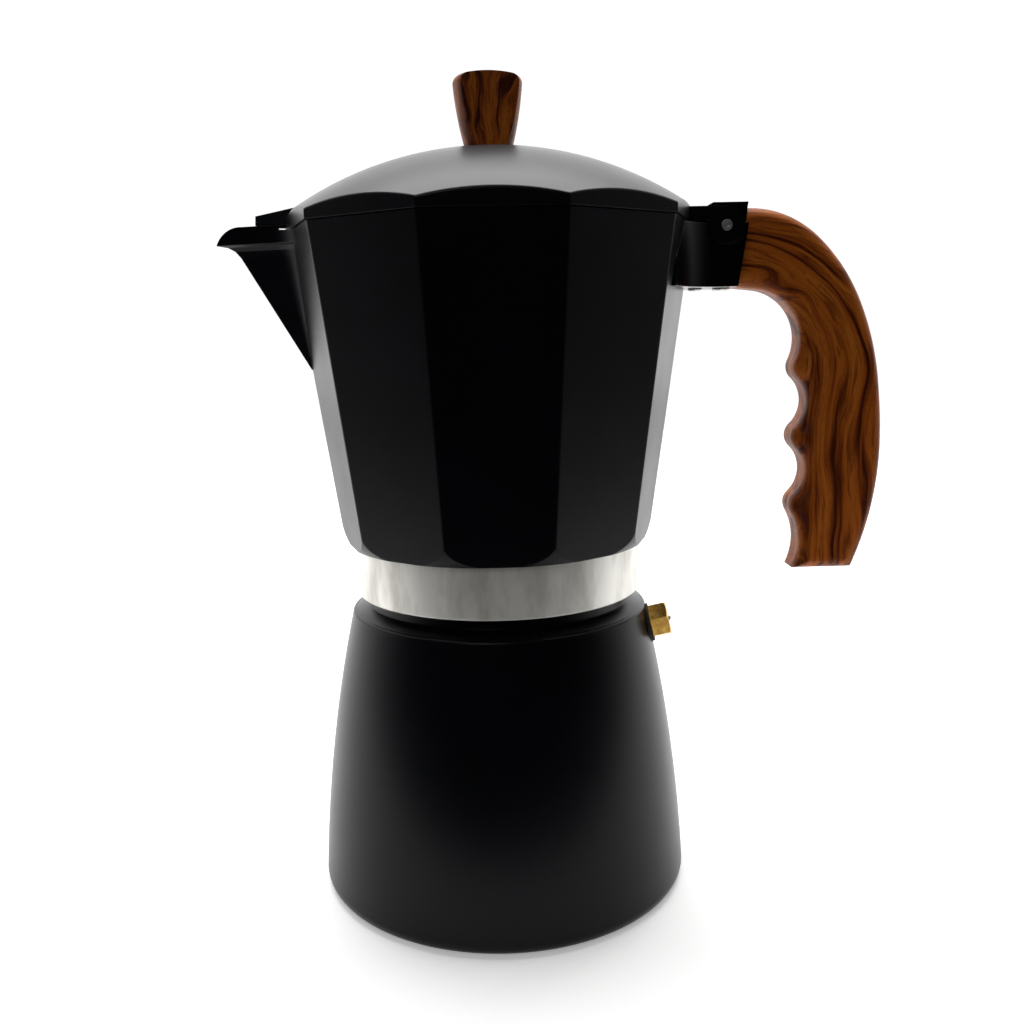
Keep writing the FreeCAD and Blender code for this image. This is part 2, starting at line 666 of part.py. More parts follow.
def valve_levels():
    """Distances along the valve's axis: inner end, washer face, chamber's end and outer face."""
    face = size.valve_washer_length - size.valve_spot
    outer_face = face + size.valve_hex_length
    return -size.valve_shank_length, face, outer_face - size.valve_cover, outer_face


def build_valve_body():
    body = new_body("valve_body")
    inner_end, face, chamber_end, outer_face = valve_levels()
    directions = [towards(60 * number) for number in range(6)]
    hexagon = [(size.valve_hex * along, size.valve_hex * up) for along, up in directions]
    sketch = outline(body, "hexagon_outline", "XY_Plane", hexagon, face)
    padded(body, "hexagon", sketch, size.valve_hex_length)
    chamfer = size.valve_hex * (1 - math.cos(math.radians(30))) + 0.2
    turned(body, "hexagon_chamfer", [
        (size.valve_hex - chamfer, outer_face),
        (size.valve_hex + 1, outer_face - (chamfer + 1) * 0.5),
        (size.valve_hex + 1, outer_face),
    ], cut=True)
    turned(body, "shank", [
        (ZERO, inner_end),
        (size.valve_shank - size.edge_break, inner_end),
        (size.valve_shank, inner_end + size.edge_break),
        (size.valve_shank, face),
        (ZERO, face),
    ])
    turned(body, "chamber", [
        (ZERO, inner_end),
        (size.valve_chamber, inner_end),
        (size.valve_chamber, chamber_end),
        (size.relief_stem + size.side_gap, chamber_end),
        (size.relief_stem + size.side_gap, outer_face),
        (ZERO, outer_face),
    ], cut=True)
    body.Placement = valve_placement()


def build_valve_seat():
    body = new_body("valve_seat")
    inner_end = valve_levels()[0]
    top = inner_end + size.valve_seat_length
    turned(body, "plug", [
        (size.valve_port, inner_end),
        (size.valve_chamber, inner_end),
        (size.valve_chamber, top),
        (size.valve_port + 1, top),
        (size.valve_port, top - 1),
    ])
    body.Placement = valve_placement()


def relief_levels():
    """Distances along the valve's axis: foot of the pin's cone, foot and top of its head."""
    seat_top = valve_levels()[0] + size.valve_seat_length
    head_foot = seat_top + size.rest_gap
    return seat_top - 1 + size.rest_gap * 2, head_foot, head_foot + size.relief_head_length


def build_relief_pin():
    body = new_body("relief_pin")
    cone_foot, head_foot, head_top = relief_levels()
    outer_end = valve_levels()[3] + 0.7
    turned(body, "pin", [
        (ZERO, cone_foot),
        (size.valve_port - size.rest_gap, cone_foot),
        (size.valve_port + 1 - size.rest_gap * 2, head_foot),
        (size.relief_head, head_foot),
        (size.relief_head, head_top),
        (size.relief_stem, head_top),
        (size.relief_stem, outer_end - size.edge_break),
        (size.relief_stem - size.edge_break, outer_end),
        (ZERO, outer_end),
    ])
    body.Placement = valve_placement()


def build_relief_spring():
    body = new_body("relief_spring")
    head_top = relief_levels()[2]
    chamber_end = valve_levels()[2]
    clear = size.spring_wire + size.rest_gap
    middle = (size.relief_stem + size.valve_chamber) / 2
    sketch = circles(body, "wire", "XZ_Plane", [(middle, head_top + clear)], size.spring_wire)
    feature = body.newObject("PartDesign::AdditiveHelix", "coil")
    feature.Profile = sketch
    feature.ReferenceAxis = (sketch, ["V_Axis"])
    feature.Mode = 0
    climb = chamber_end - head_top - clear * 2
    bind(feature, "Pitch", climb / size.spring_turns)
    bind(feature, "Height", climb)
    finish(body, feature, 0.0, False)
    body.Placement = valve_placement()


def build_funnel():
    body = new_body("funnel")
    bottom = size.neck_height + size.rest_gap
    top = bottom + size.funnel_flange
    flange = size.seat_bore - size.side_gap
    inside = size.basket_radius - size.sheet_wall
    ledge = inside - size.basket_ledge
    stem_bore = size.stem_radius - size.sheet_wall
    cone_foot = size.basket_floor - size.cone_drop
    turned(body, "sheet", [
        (inside, top),
        (inside, size.basket_floor),
        (ledge, size.basket_floor),
        (ledge, size.basket_floor - size.sheet_wall * 2),
        (stem_bore, cone_foot),
        (stem_bore, size.stem_foot),
        (size.stem_radius, size.stem_foot),
        (size.stem_radius, cone_foot - size.sheet_wall * 0.6),
        (ledge + size.sheet_wall, size.basket_floor - size.sheet_wall * 2.6),
        (size.basket_radius, size.basket_floor - size.sheet_wall),
        (size.basket_radius, bottom),
        (flange, bottom),
        (flange, top),
    ])


def punched(body, name, rings, spacing, low, high):
    """Punch rings of small holes, evenly spaced, and one at the centre."""
    centres = [(ZERO, ZERO)]
    for ring in range(1, rings + 1):
        count = 6 * ring
        for number in range(count):
            along, up = towards(360.0 * number / count)
            centres.append((spacing * ring * along, spacing * ring * up))
    sketch = circles(body, name + "_outline", "XY_Plane", centres, size.sieve_hole, low)
    padded(body, name, sketch, as_size(high) - low, cut=True)


def build_funnel_sieve():
    body = new_body("funnel_sieve")
    radius = size.basket_radius - size.sheet_wall - size.rest_gap
    top = size.basket_floor + size.sieve_thickness
    turned(body, "disc", [
        (ZERO, size.basket_floor),
        (radius, size.basket_floor),
        (radius, top),
        (ZERO, top),
    ])
    punched(body, "holes", 6, radius * 0.14, size.basket_floor, top)


def build_gasket():
    body = new_body("gasket")
    bottom = size.neck_height + size.funnel_flange + size.rest_gap * 2
    top = bottom + size.gasket_thickness
    outside = size.seat_bore - size.side_gap
    lip = 0.6
    turned(body, "ring", [
        (size.gasket_bore, bottom + lip),
        (size.gasket_bore + lip, bottom),
        (outside - lip, bottom),
        (outside, bottom + lip),
        (outside, top - lip),
        (outside - lip, top),
        (size.gasket_bore + lip, top),
        (size.gasket_bore, top - lip),
    ])


def build_filter_plate():
    body = new_body("filter_plate")
    bottom = size.seat_height + size.rest_gap / 2
    top = bottom + size.sieve_thickness
    dish = size.dish_radius
    slope = 2.0
    turned(body, "disc", [
        (ZERO, bottom - size.dish_depth),
        (dish - slope, bottom - size.dish_depth),
        (dish, bottom),
        (size.plate_radius, bottom),
        (size.plate_radius, top),
        (dish - size.sieve_thickness / 2, top),
        (dish - slope - size.sieve_thickness / 2, top - size.dish_depth),
        (ZERO, top - size.dish_depth),
    ])
    punched(body, "holes", 6, dish * 0.14, bottom - size.dish_depth, top - size.dish_depth)


# ---------------------------------------------------------------- upper vessel

def spout_keel():
    """Heights and reaches of the spout's keel, from its foot to above its tip."""
    curl = size.spout_reach - size.spout_lip_reach
    rise = size.spout_tip - size.spout_lip
    return [
        (size.spout_foot, corner_at(size.spout_foot) + size.spout_start),
        (size.spout_lip, size.spout_lip_reach),
        (size.spout_lip + rise * 0.5, size.spout_lip_reach + curl * 0.22),
        (size.spout_lip + rise * 0.83, size.spout_lip_reach + curl * 0.52),
        (size.spout_tip, size.spout_reach),
        (size.spout_top + 1, size.spout_reach + 1.5),
    ]


def spout_sections(body, name, levels, inset):
    """Pointed sections of the spout that sweep out of the vessel's facets, set in by a wall."""
    facet = math.tan(math.radians(HALF_SIDE))
    back = corner_at(levels[0][0]) - 12
    sections = []
    for number, (level, reach) in enumerate(levels):
        out = reach - corner_at(level) + 0.4
        side = size.spout_nose + out * 0.31 - inset
        foot = size.spout_nose + out * 0.69 - inset
        wall = corner_at(level) - (size.spout_nose + out * 0.69) * facet - 0.2
        tip = reach - inset * 1.4
        nose = size.spout_nose - inset * 0.2
        sections.append(outline(body, "%s_%d" % (name, number), "XY_Plane", [
            (-tip, nose),
            (-tip, -nose),
            (out * 0.85 - reach, -side, -(out * 0.65)),
            (-wall, -foot),
            (-back, -foot),
            (-back, foot),
            (-wall, foot, -(out * 0.65)),
            (out * 0.85 - reach, side),
        ], level))
    return sections


def cut_spout(body):
    """Trim the spout's upper edge and open its channel into the vessel."""
    beyond = size.spout_reach + 10
    above = size.spout_top + 5
    across(body, "spout_trim", [
        (-beyond, size.spout_tip - 0.2),
        (-size.spout_reach, size.spout_tip - 0.2, -9),
        (9 - size.spout_reach, size.spout_top),
        (-size.rim_corner, size.spout_top),
        (-size.rim_corner, above),
        (-beyond, above),
    ], size.rim_corner, cut=True)
    edge = -(size.lid_corner + size.side_gap)
    across(body, "rim_trim", [
        (edge, size.vessel_rim),
        (size.rim_corner, size.vessel_rim),
        (size.rim_corner, above),
        (edge, above),
    ], size.rim_corner, cut=True)


def build_vessel():
    body = new_body("vessel")
    flared(body, "casting", size.vessel_foot, size.vessel_rim)
    trim_top = size.vessel_foot + size.foot_trim_height
    beyond = size.rim_corner + 10
    turned(body, "foot_trim", [
        (size.foot_trim, size.vessel_foot),
        (beyond, size.vessel_foot),
        (beyond, trim_top),
        (corner_at(trim_top), trim_top, -(size.foot_trim_height * 2)),
    ], cut=True)
    keel = spout_keel()
    lofted(body, "spout", spout_sections(body, "spout_section", keel, ZERO))
    box(body, "lug", (size.rim_corner * 0.85, -size.lug_half, size.lug_foot),
        (size.lug_reach, size.lug_half, size.lug_top))
    cut_spout(body)
    flared(body, "cavity", size.vessel_floor, size.vessel_rim + 5, size.vessel_wall, cut=True)
    climb = size.spout_lip - size.spout_foot
    start = (size.spout_foot + climb * 0.34, keel[0][1] + (keel[1][1] - keel[0][1]) * 0.34)
    channel = spout_sections(body, "channel_section", [start] + keel[1:], size.spout_wall)
    lofted(body, "channel", channel, cut=True)
    spigot = size.ring_bore
    foot = size.neck_height + 0.5
    recess = size.plate_radius + size.side_gap
    turned(body, "spigot", [
        (ZERO, foot),
        (spigot, foot),
        (spigot, size.vessel_foot + 1),
        (ZERO, size.vessel_foot + 1),
    ])
    turned(body, "seat", [
        (ZERO, foot),
        (size.seat_bore, foot),
        (size.seat_bore, size.seat_height),
        (recess, size.seat_height),
        (recess, size.seat_height + 1),
        (size.column_fit, size.seat_height + 1),
        (size.column_fit, size.vessel_floor + 0.5),
        (ZERO, size.vessel_floor + 0.5),
    ], cut=True)
    depth = size.lug_foot + size.screw_length
    upright_hole(body, "screw_hole", size.lug_screw_reach, size.screw_radius, size.lug_foot - 1, depth)


def build_collar_ring():
    body = new_body("collar_ring")
    bore = size.ring_bore
    chamfer = size.edge_break
    turned(body, "ring", [
        (bore, size.ring_foot + chamfer),
        (bore + chamfer, size.ring_foot),
        (size.ring_radius - chamfer, size.ring_foot),
        (size.ring_radius, size.ring_foot + chamfer),
        (size.ring_radius, size.vessel_foot - chamfer),
        (size.ring_radius - chamfer, size.vessel_foot),
        (bore, size.vessel_foot),
    ])
    crest = size.neck_radius + size.thread_depth + size.thread_gap
    level = size.ring_foot + chamfer * 2 + size.thread_root / 2
    thread(body, "ring_thread", ridge(crest, bore + size.thread_gap / 2, level, False), size.thread_length)


def build_riser_column():
    body = new_body("riser_column")
    under = size.seat_height + 1
    outlet_top = size.column_shoulder - 1
    turned(body, "column", [
        (size.column_bore, under),
        (size.column_fit, under),
        (size.column_fit, size.vessel_floor),
        (size.column_foot, size.vessel_floor),
        (size.column_foot, size.vessel_floor + 2),
        (size.column_head, size.column_shoulder, size.column_head),
        (ZERO, size.column_shoulder + size.column_head),
        (ZERO, outlet_top),
        (size.column_bore, outlet_top),
    ])
    reach = size.column_foot + 5
    box(body, "outlets", (-size.outlet_width / 2, -reach, outlet_top - size.outlet_height),
        (size.outlet_width / 2, reach, outlet_top), cut=True)


# ---------------------------------------------------------------- bracket and handle

def back_face(height):
    """Reach of the bracket's leaning rear face at a height."""
    lean = size.bracket_lean / (size.bracket_top - size.bracket_foot)
    return size.bracket_reach - (size.bracket_top - as_size(height)) * lean


def sideways(body, name, corners, near, far, cut=False):
    """Pad or cut an outline of the XZ plane between two distances on both sides of it."""
    width = as_size(far) - near
    left = outline(body, name + "_left_outline", "XZ_Plane", corners, near)
    padded(body, name + "_left", left, width, cut)
    right = outline(body, name + "_right_outline", "XZ_Plane", corners, -as_size(far))
    padded(body, name + "_right", right, width, cut)


def round_outline(centre, radius):
    """Four arcs that make a full circle."""
    across_at, up_at = centre
    return [
        (across_at + radius, up_at, radius),
        (across_at, up_at + radius, radius),
        (across_at - radius, up_at, radius),
        (across_at, up_at - radius, radius),
    ]


def pin_half():
    """Half length of the hinge pin between its heads, over the tongue and both cheeks."""
    return size.tongue_half + size.cheek_gap + size.cheek_wide + size.rest_gap


def build_hinge_bracket():
    body = new_body("hinge_bracket")
    inside = size.rim_corner * 0.7
    neck = size.lug_reach
    behind = size.bracket_reach + 5
    gusset = outline(body, "gusset_outline", "XY_Plane", [
        (inside, -size.bracket_flare),
        (size.rim_corner * 0.84, -size.bracket_flare, -30),
        (neck, -size.bracket_half),
        (behind, -size.bracket_half),
        (behind, size.bracket_half),
        (neck, size.bracket_half, -30),
        (size.rim_corner * 0.84, size.bracket_flare),
        (inside, size.bracket_flare),
    ], size.bracket_foot)
    padded(body, "gusset", gusset, size.bracket_shoulder - size.bracket_foot)
    front = size.pin_reach - size.tongue_round
    flat = size.bracket_top - size.pin_height
    crown = size.pin_reach - root(size.tongue_round * size.tongue_round - flat * flat)
    across(body, "tongue", [
        (front, size.bracket_foot),
        (behind, size.bracket_foot),
        (behind, size.bracket_top),
        (crown, size.bracket_top, size.tongue_round),
        (front, size.pin_height),
    ], size.tongue_half)
    across(body, "rear_face", [
        (back_face(size.bracket_foot - 1), size.bracket_foot - 1),
        (behind + 1, size.bracket_foot - 1),
        (behind + 1, size.bracket_top + 1),
        (back_face(size.bracket_top + 1), size.bracket_top + 1),
    ], size.bracket_half + 1, cut=True)
    flared(body, "vessel_face", size.bracket_foot - 1, size.bracket_shoulder + 1, cut=True)
    pin = (size.pin_reach, size.pin_height)
    recess = round_outline(pin, size.cheek_round + size.cheek_relief)
    sideways(body, "knuckle", recess, size.tongue_half, pin_half() + size.pin_head_length + 0.8, cut=True)
    bore = circles(body, "pin_bore_outline", "XZ_Plane", [pin], size.pin_radius)
    padded(body, "pin_bore", bore, size.bracket_half * 3, cut=True, both=True)
    box(body, "lug_socket", (inside, -size.lug_half, size.lug_foot),
        (size.lug_reach + size.rest_gap, size.lug_half, size.lug_top), cut=True)
    box(body, "tenon_socket", (size.tenon_start - size.rest_gap, -size.tenon_half, size.lug_foot),
        (behind, size.tenon_half, size.lug_top), cut=True)
    hole = size.screw_radius + size.rest_gap
    for name, reach in (("lug_hole", size.lug_screw_reach), ("tenon_hole", size.tenon_screw_reach)):
        upright_hole(body, name, reach, hole, size.bracket_foot - 1, size.lug_foot + 1)


def build_hinge_pin():
    body = new_body("hinge_pin")
    inner = pin_half()
    pin = (size.pin_reach, size.pin_height)
    shank = circles(body, "shank_outline", "XZ_Plane", [pin], size.pin_radius)
    padded(body, "shank", shank, inner * 2, both=True)
    end = inner + size.pin_head_length
    sideways(body, "heads", round_outline(pin, size.pin_head), inner, end)
    sideways(body, "dimples", round_outline(pin, size.pin_dimple), end - size.pin_head_length / 2, end, cut=True)


def screw(name, reach, head_radius):
    """A screw whose head bears on the bracket's underside."""
    body = new_body(name)
    top = size.bracket_foot + size.screw_length
    under = size.bracket_foot - size.screw_head_length
    depth = size.screw_head_length / 2
    turned(body, "screw", [
        (ZERO, under),
        (head_radius - depth, under),
        (head_radius, under + depth),
        (head_radius, size.bracket_foot),
        (size.screw_radius, size.bracket_foot),
        (size.screw_radius, top - 0.5),
        (size.screw_radius - 0.5, top),
        (ZERO, top),
    ])
    slot = head_radius + 1
    box(body, "slot", (-slot, -0.4, under), (slot, 0.4, under + depth), cut=True)
    body.Placement = FreeCAD.Placement(FreeCAD.Vector(reach.value, 0, 0), FreeCAD.Rotation())


def sleeve(name, inner, outer, foot, length, reach):
    """A threaded insert, shown as a plain sleeve with broken edges."""
    body = new_body(name)
    turned(body, "sleeve", [
        (inner, foot),
        (outer, foot),
        (outer, foot + length - size.edge_break),
        (outer - size.edge_break, foot + length),
        (inner, foot + length),
    ])
    body.Placement = FreeCAD.Placement(FreeCAD.Vector(reach.value, 0, 0), FreeCAD.Rotation())


def heading(start, end):
    """Direction from one point to another, in degrees."""
    along = end[0] - start[0]
    up = end[1] - start[1]
    value = math.degrees(math.atan2(up.value, along.value))
    return Size(value, "(atan2(%s; %s) / 1 deg)" % (up.text, along.text))


def smooth_arcs(points, direction):
    """Corners for a chain of arcs through the points, each running smoothly into the next.
    The chain leaves the first point in the given direction."""
    corners = []
    for start, end in zip(points, points[1:]):
        chord = heading(start, end)
        along = end[0] - start[0]
        up = end[1] - start[1]
        bow = root(along * along + up * up) / (sine(chord - direction) * 2)
        corners.append((start[0], start[1], bow))
        direction = chord * 2 - direction
    return corners


def handle_back_corners():
    """The handle's back, from its lower end to its top."""
    length = size.handle_length
    points = [
        (size.handle_back - 8.5, size.handle_foot),
        (size.handle_back, size.handle_foot + length * 0.3707),
        (size.handle_back - 1.5, size.handle_foot + length * 0.5431),
        (size.handle_back - 8.1, size.handle_foot + length * 0.75),
        (size.handle_back - 21.0, size.handle_top - length * 0.0862),
        (size.handle_back - 29.3, size.handle_top - length * 0.0328),
        (back_face(size.handle_top) + 0.1, size.handle_top),
    ]
    return smooth_arcs(points, Size(66.5)) + [points[-1]]


def handle_grip_corners():
    """The finger side of the handle, from the bracket down to its lower end."""
    ridge_reach = size.handle_front + size.ridge_radius
    ridge = size.ridge_radius

    def beside(groove_in, radius):
        """A groove that lies behind the ridges by a distance: its centre's reach, and the climb to it from
        the middle of the ridge that it runs into."""
        centre = size.handle_front + groove_in - radius
        gap = ridge_reach - centre
        return centre, root((radius + ridge) * (radius + ridge) - gap * gap)

    def meeting(centre, radius, climb):
        """Reach and climb of the point where a groove runs into a ridge."""
        share = ridge / (radius + ridge)
        return ridge_reach - (ridge_reach - centre) * share, climb * share

    top_radius = size.top_groove_radius
    top_centre, top_climb = beside(size.top_groove_in, top_radius)
    rise = root(top_radius * top_radius - 4.0)
    start = size.bracket_foot - size.top_groove_gap
    level = start - rise - top_climb
    reach, climb = meeting(top_centre, top_radius, top_climb)
    corners = [
        (top_centre + 2.0, start, -top_radius),
        (reach, level + climb, ridge),
    ]
    last_level = size.handle_foot + size.last_ridge_rise
    half = (level - last_level) / 4
    depth = size.groove_depth
    radius = (half * half + depth * depth) / (depth * 2) - ridge
    reach, climb = meeting(ridge_reach - radius - ridge + depth, radius, half)
    for groove in range(2):
        corners.append((reach, level - climb, -radius))
        level = level - half * 2
        corners.append((reach, level + climb, ridge))
    low_radius = size.low_groove_radius
    low_centre, low_climb = beside(size.low_groove_in, low_radius)
    reach, climb = meeting(low_centre, low_radius, low_climb)
    corners.append((reach, last_level - climb, -low_radius))
    drop = size.last_ridge_rise - low_climb
    corners.append((low_centre + root(low_radius * low_radius - drop * drop), size.handle_foot))
    return corners


def build_handle():
    body = new_body("handle")
    front_foot = (back_face(size.bracket_foot) + 0.1, size.bracket_foot)
    across(body, "grip", handle_back_corners() + [front_foot] + handle_grip_corners(), size.handle_half)
    side = size.handle_half.value - 0.01
    front = size.bracket_reach.value + 0.3

    def runs_along(edge):
        low, high = edge.BoundBox.YMin, edge.BoundBox.YMax
        return abs(low) > side and abs(high - low) < 0.01 and edge.BoundBox.XMax > front

    rounded(body, "grip_edges", runs_along, size.handle_round)
    box(body, "tenon", (size.tenon_start, -size.tenon_half, size.lug_foot),
        (size.bracket_reach + 3, size.tenon_half, size.lug_top))
    top = size.lug_foot + size.insert_length
    upright_hole(body, "insert_hole", size.tenon_screw_reach, size.insert_radius, size.lug_foot - 1, top)


# ---------------------------------------------------------------- lid and knob

def build_lid():
    body = new_body("lid")
    prism = outline(body, "skirt_outline", "XY_Plane", polygon(size.lid_corner), size.lid_foot)
    padded(body, "skirt", prism, size.dome_top - size.lid_foot)
    beyond = size.lid_corner + 3
    above = size.dome_top + 2
    turned(body, "dome", [
        (size.knob_seat, lid_dome(size.knob_seat)),
        (size.knob_seat, size.knob_seat_height),
        (ZERO, size.knob_seat_height),
        (ZERO, above),
        (beyond, above),
        (beyond, lid_dome(beyond), size.dome_radius),
    ], cut=True)
    rim = size.lid_foot.value + 0.1
    side = 2 * size.lid_corner.value * math.sin(math.radians(HALF_SIDE))

    def on_dome_edge(edge):
        """The dome's edge above the flat sides. The upright corners and the knob's flat stay sharp."""
        return edge.BoundBox.ZMax > rim and edge.BoundBox.DiagonalLength > side * 0.9

    rounded(body, "dome_edges", on_dome_edge, size.dome_edge_round)
    inner = size.dome_radius - size.lid_wall
    ceiling = size.dome_top - size.dome_radius + root(inner * inner - size.lid_cavity * size.lid_cavity)
    boss_edge = size.dome_top - size.dome_radius + root(inner * inner - size.boss_radius * size.boss_radius)
    turned(body, "cavity", [
        (ZERO, size.lid_foot),
        (size.lid_cavity, size.lid_foot),
        (size.lid_cavity, ceiling, inner),
        (size.boss_radius, boss_edge),
        (size.boss_radius, size.boss_height),
        (ZERO, size.boss_height),
    ], cut=True)
    box(body, "back", (size.lid_back, -10, size.lid_foot - 1), (beyond, 10, size.dome_top), cut=True)
    add_cheeks(body)
    add_beak(body)
    seat = size.knob_screw_radius + 0.2
    upright_hole(body, "knob_screw_hole", ZERO, seat, size.boss_height - 1, size.dome_top + 1)


def add_cheeks(body):
    pin_reach, pin_height = size.pin_reach, size.pin_height
    radius = size.cheek_round
    under = size.cheek_foot - pin_height
    start = pin_reach - root(radius * radius - under * under)
    inside = size.lid_cavity - 1.5
    near = size.tongue_half + size.cheek_gap
    sideways(body, "cheeks", [
        (inside, size.cheek_foot),
        (start, size.cheek_foot, radius),
        (pin_reach, pin_height - radius, radius),
        (pin_reach + radius, pin_height, radius),
        (pin_reach, pin_height + radius),
        (inside, pin_height + radius),
    ], near, near + size.cheek_wide)
    running = size.pin_radius + size.pin_gap
    bore = circles(body, "hinge_bore_outline", "XZ_Plane", [(pin_reach, pin_height)], running)
    padded(body, "hinge_bore", bore, size.bracket_half * 4, cut=True, both=True)


def add_beak(body):
    """The beak that covers the spout, hollow from below and open to the lid's inside."""
    root_reach = size.lid_cavity - 1
    run = size.beak_reach - root_reach
    top = lid_dome(root_reach)
    slope = (top - size.beak_nose_top) / run
    for name, inset, cut in (("beak", ZERO, False), ("beak_hollow", size.beak_plate, True)):
        nose = size.beak_reach - inset
        start = root_reach - inset * 2
        floor = size.beak_foot - (1 if cut else 0)
        sections = []
        for tag, reach, half, peak in (
                ("nose", nose, size.beak_nose - inset, size.beak_nose_top + slope * inset - inset),
                ("root", start, size.beak_half - inset, top + slope * inset * 2 - inset)):
            corners = [(-half, floor), (half, floor), (half * 0.8, peak), (-half * 0.8, peak)]
            sections.append(outline(body, "%s_%s" % (name, tag), "YZ_Plane", corners, -reach))
        lofted(body, name, sections, cut)


def build_knob_washer():
    body = new_body("knob_washer")
    top = size.knob_seat_height + size.washer_thickness
    bore = size.knob_screw_radius + 0.2
    turned(body, "washer", [
        (bore, size.knob_seat_height),
        (size.washer_radius, size.knob_seat_height),
        (size.washer_radius, top - 0.2),
        (size.washer_radius - 0.2, top),
        (bore, top),
    ])


def build_knob():
    body = new_body("knob")
    foot = size.knob_seat_height + size.washer_thickness
    shoulder = size.knob_head - size.knob_edge_round * 0.8
    shoulder_height = size.knob_edge + size.knob_edge_round * 0.95
    drop = size.knob_top - shoulder_height
    crown = (shoulder * shoulder + drop * drop) / (drop * 2)
    turned(body, "knob", [
        (ZERO, foot),
        (size.knob_foot - 0.5, foot),
        (size.knob_foot, foot + 0.5, size.knob_flank),
        (size.knob_head, size.knob_edge, size.knob_edge_round),
        (shoulder, shoulder_height, crown),
        (ZERO, size.knob_top),
    ])
    beyond = size.knob_head + 2
    box(body, "near_flat", (-beyond, -beyond, foot - 1), (beyond, -size.knob_flat, size.knob_top + 1), cut=True)
    box(body, "far_flat", (-beyond, size.knob_flat, foot - 1), (beyond, beyond, size.knob_top + 1), cut=True)
    insert_top = foot + size.knob_insert_length
    turned(body, "insert_hole", [
        (ZERO, foot),
        (size.knob_insert_radius, foot),
        (size.knob_insert_radius, insert_top),
        (size.knob_screw_radius, insert_top),
        (size.knob_screw_radius, insert_top + 2),
        (ZERO, insert_top + 2),
    ], cut=True)
    turn = FreeCAD.Rotation(FreeCAD.Vector(0, 0, 1), size.knob_turn.value)
    body.Placement = FreeCAD.Placement(FreeCAD.Vector(), turn)


def build_knob_screw():
    body = new_body("knob_screw")
    seat = size.boss_height
    under = seat - size.knob_screw_head_length
    top = seat + size.knob_screw_length
    turned(body, "screw", [
        (ZERO, under),
        (size.knob_screw_head - 0.7, under),
        (size.knob_screw_head, under + 0.7),
        (size.knob_screw_head, seat),
        (size.knob_screw_radius, seat),
        (size.knob_screw_radius, top - 0.5),
        (size.knob_screw_radius - 0.5, top),
        (ZERO, top),
    ])
    slot = size.knob_screw_head + 1
    box(body, "slot", (-slot, -0.5, under), (slot, 0.5, under + 0.8), cut=True)


# ---------------------------------------------------------------- build and write

build_boiler()
build_valve_washer()
build_valve_body()
build_valve_seat()
build_relief_pin()
build_relief_spring()
build_funnel()
build_funnel_sieve()
build_gasket()
build_filter_plate()
build_vessel()
build_collar_ring()
build_riser_column()
build_hinge_bracket()
build_hinge_pin()
screw("bracket_screw", size.lug_screw_reach, size.lug_screw_head)
screw("handle_screw", size.tenon_screw_reach, size.tenon_screw_head)
sleeve("handle_insert", size.screw_radius, size.insert_radius, size.lug_foot, size.insert_length,
       size.tenon_screw_reach)
build_handle()
build_lid()
build_knob_washer()
build_knob()
build_knob_screw()
sleeve("knob_insert", size.knob_screw_radius, size.knob_insert_radius,
       size.knob_seat_height + size.washer_thickness, size.knob_insert_length, ZERO)
doc.recompute()

for item in doc.Objects:
    if "Invalid" in item.State or "Error" in item.State:
        raise RuntimeError("%s is %s" % (item.Label, item.State))

bodies = [item for item in doc.Objects if item.TypeId == "PartDesign::Body"]
os.makedirs("parts", exist_ok=True)
for body in bodies:
    shape = body.Shape
    if shape.isNull() or not shape.isValid() or len(shape.Solids) != 1:
        raise RuntimeError("%s is not one valid solid" % body.Label)
    shape.exportStep("parts/%s.step" % body.Label)
    box_size = shape.BoundBox
    print("%-14s %8.1f mm3  x %7.2f %7.2f  y %7.2f %7.2f  z %7.2f %7.2f" % (
        body.Label, shape.Volume, box_size.XMin, box_size.XMax, box_size.YMin, box_size.YMax,
        box_size.ZMin, box_size.ZMax))
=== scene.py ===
import json
import math

import bmesh
import bpy
from mathutils import Matrix, Vector


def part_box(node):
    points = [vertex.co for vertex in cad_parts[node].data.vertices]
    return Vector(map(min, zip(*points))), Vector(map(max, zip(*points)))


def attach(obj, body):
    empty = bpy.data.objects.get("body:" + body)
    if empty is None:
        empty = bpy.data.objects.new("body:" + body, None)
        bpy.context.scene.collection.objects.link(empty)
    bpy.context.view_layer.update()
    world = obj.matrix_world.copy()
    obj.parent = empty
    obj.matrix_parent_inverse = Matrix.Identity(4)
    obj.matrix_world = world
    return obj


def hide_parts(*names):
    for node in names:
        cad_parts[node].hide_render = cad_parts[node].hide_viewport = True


# A stove-top moka pot: a satin black enamelled body with a bare aluminium collar, a wood-look handle and knob,
# a black hinge bracket and a brass safety valve.

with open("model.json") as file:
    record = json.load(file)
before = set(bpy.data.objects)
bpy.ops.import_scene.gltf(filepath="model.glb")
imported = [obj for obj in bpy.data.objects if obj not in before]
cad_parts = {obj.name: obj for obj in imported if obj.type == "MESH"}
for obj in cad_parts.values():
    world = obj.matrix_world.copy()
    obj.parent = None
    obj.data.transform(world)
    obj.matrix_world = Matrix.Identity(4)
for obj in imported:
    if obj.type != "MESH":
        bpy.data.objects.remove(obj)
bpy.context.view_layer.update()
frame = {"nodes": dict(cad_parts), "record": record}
nodes = frame["nodes"]
record = frame["record"]
scene = bpy.context.scene

MM = 0.001
WHITE = "#FFFFFF"


def per_mm(grain):
    """Scale of a pattern whose grains are this many millimetres wide."""
    return 1 / (grain * MM)


# ---------------------------------------------------------------- materials

# Sockets of the Mix node that share their names with its plain number sockets.
COLOUR_A, COLOUR_B, COLOUR_RESULT = 6, 7, 2


def srgb(code):
    """Linear colour of an sRGB hex value."""
    parts = [int(code[i:i + 2], 16) / 255 for i in (1, 3, 5)]
    linear = [p / 12.92 if p <= 0.04045 else ((p + 0.055) / 1.055) ** 2.4 for p in parts]
    return (*linear, 1.0)


